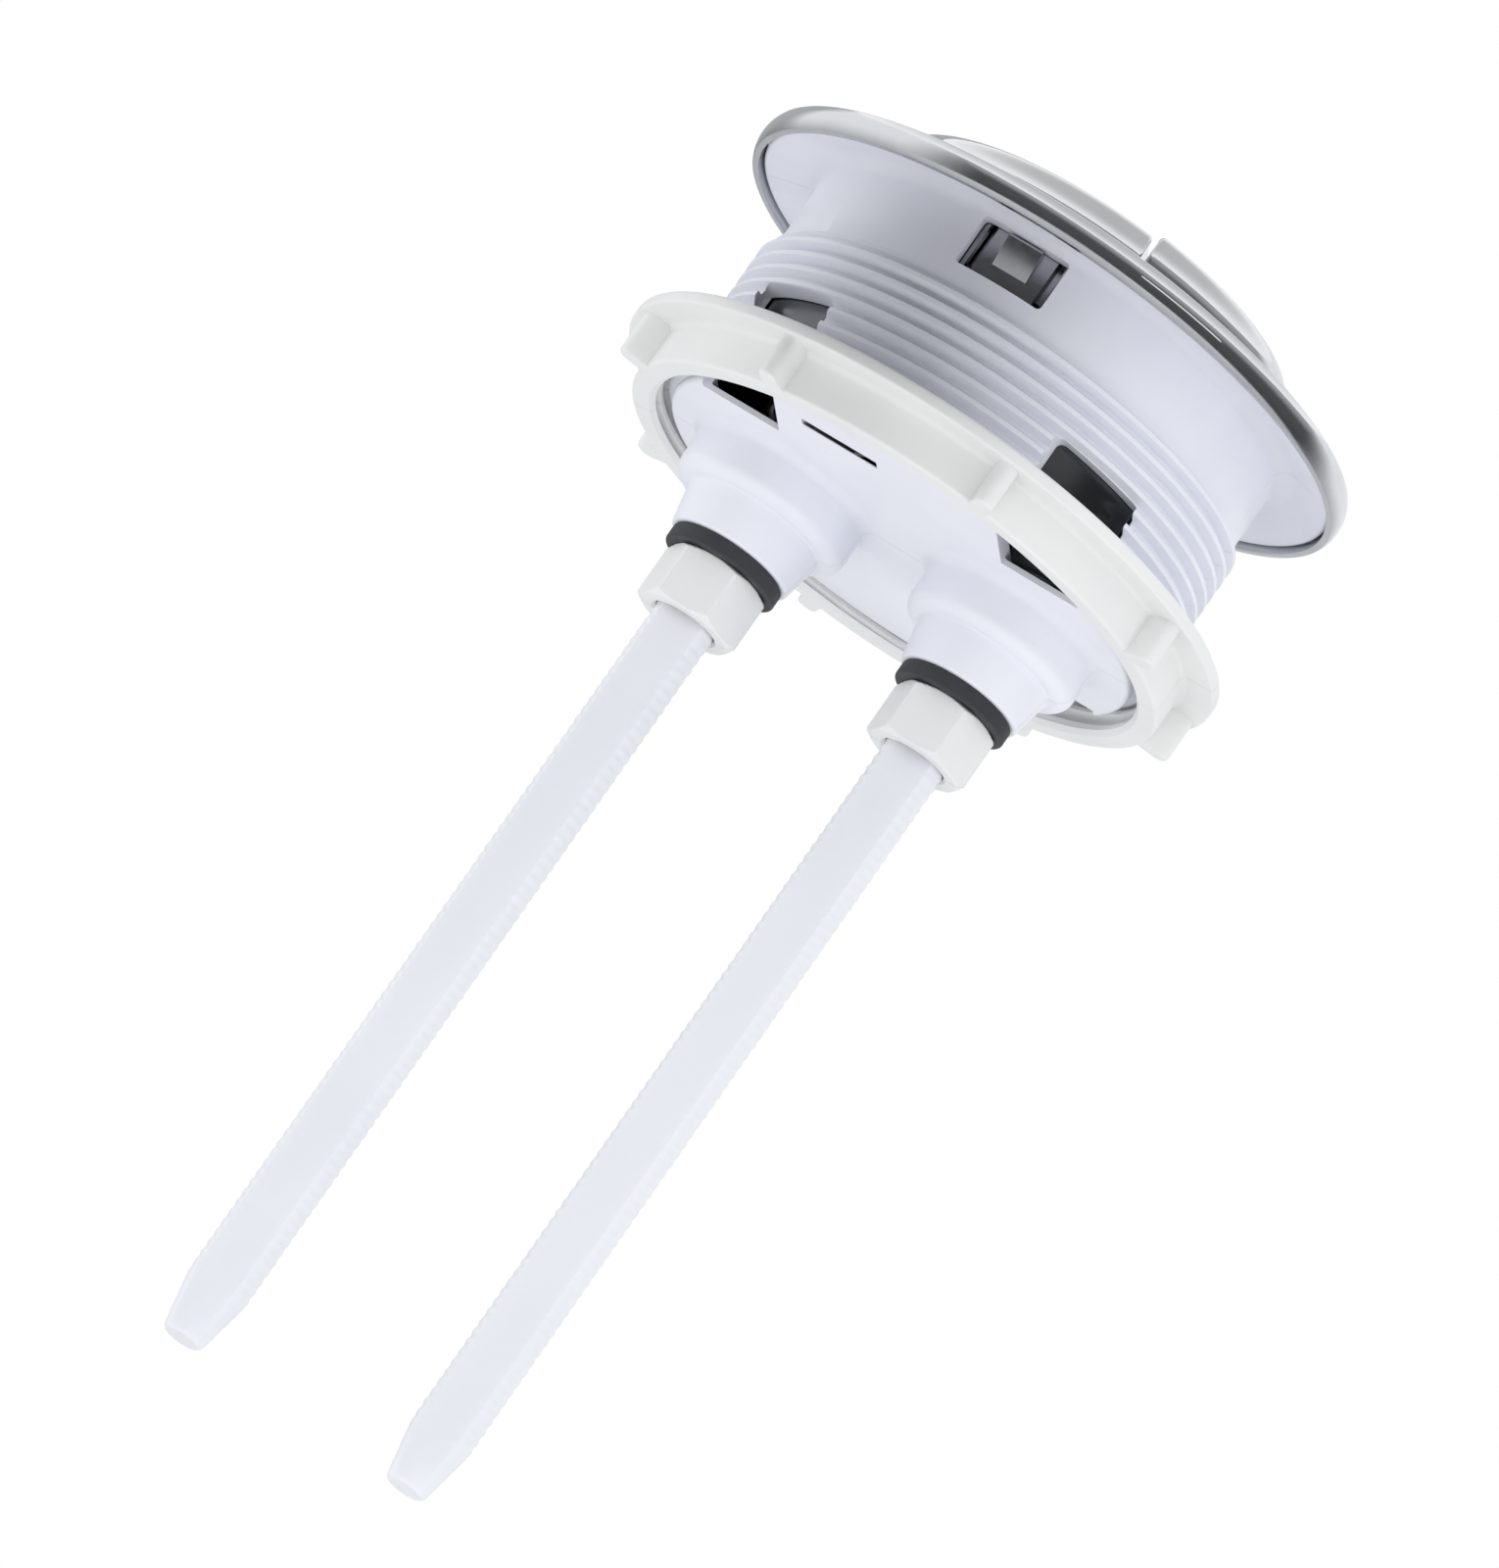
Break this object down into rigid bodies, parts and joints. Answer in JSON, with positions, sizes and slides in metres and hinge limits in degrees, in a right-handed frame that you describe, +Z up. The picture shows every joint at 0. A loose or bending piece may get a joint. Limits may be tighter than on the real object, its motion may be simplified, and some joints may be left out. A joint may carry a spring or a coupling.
{
  "type": "push button cistern actuator",
  "caption": "Round dual flush push button for a cistern lid: chrome bezel and split buttons over a white threaded barrel with lock ring and threaded push rods.",
  "frame": {"origin": "centre of the bezel's seat on the cistern lid, on the axis of the threaded barrel", "axes": "+Z up out of the lid towards the user, X through both push rods with the half flush rod at +X, -Y towards the camera of the picture"},
  "size_m": [0.071, 0.071, 0.1482],
  "materials": {
    "chrome": "bright chrome plating on plastic",
    "white_plastic": "satin moulded white",
    "ring_plastic": "satin moulded warm white",
    "rod_plastic": "slightly translucent natural white",
    "black_rubber": "matt black rubber",
    "spring_steel": "drawn stainless wire"
  },
  "bodies": {
    "lid_unit": {"housing": "white_plastic", "bezel": "chrome", "full_flush_spring": "spring_steel", "half_flush_spring": "spring_steel"},
    "full_flush": {"full_flush_button": "chrome", "full_flush_plunger": "white_plastic", "full_flush_rod": "rod_plastic", "full_flush_lock_nut": "ring_plastic", "full_flush_washer": "black_rubber"},
    "half_flush": {"half_flush_button": "chrome", "half_flush_plunger": "white_plastic", "half_flush_rod": "rod_plastic", "half_flush_lock_nut": "ring_plastic", "half_flush_washer": "black_rubber"},
    "clamp_ring": {"lock_ring": "ring_plastic"}
  },
  "joints": [
    {"name": "full_flush_press", "type": "slide", "parent": "lid_unit", "child": "full_flush", "axis": [0, 0, -1], "range_m": [0, 0.008], "stiffness_N_per_m": 400, "springref_m": -0.008, "deforming": ["full_flush_spring"]},
    {"name": "half_flush_press", "type": "slide", "parent": "lid_unit", "child": "half_flush", "axis": [0, 0, -1], "range_m": [0, 0.008], "stiffness_N_per_m": 400, "springref_m": -0.008, "deforming": ["half_flush_spring"]},
    {"name": "lock_ring_screw", "type": "slide", "parent": "lid_unit", "child": "clamp_ring", "axis": [0, 0, 1], "range_m": [-0.003, 0.0125]}
  ]
}
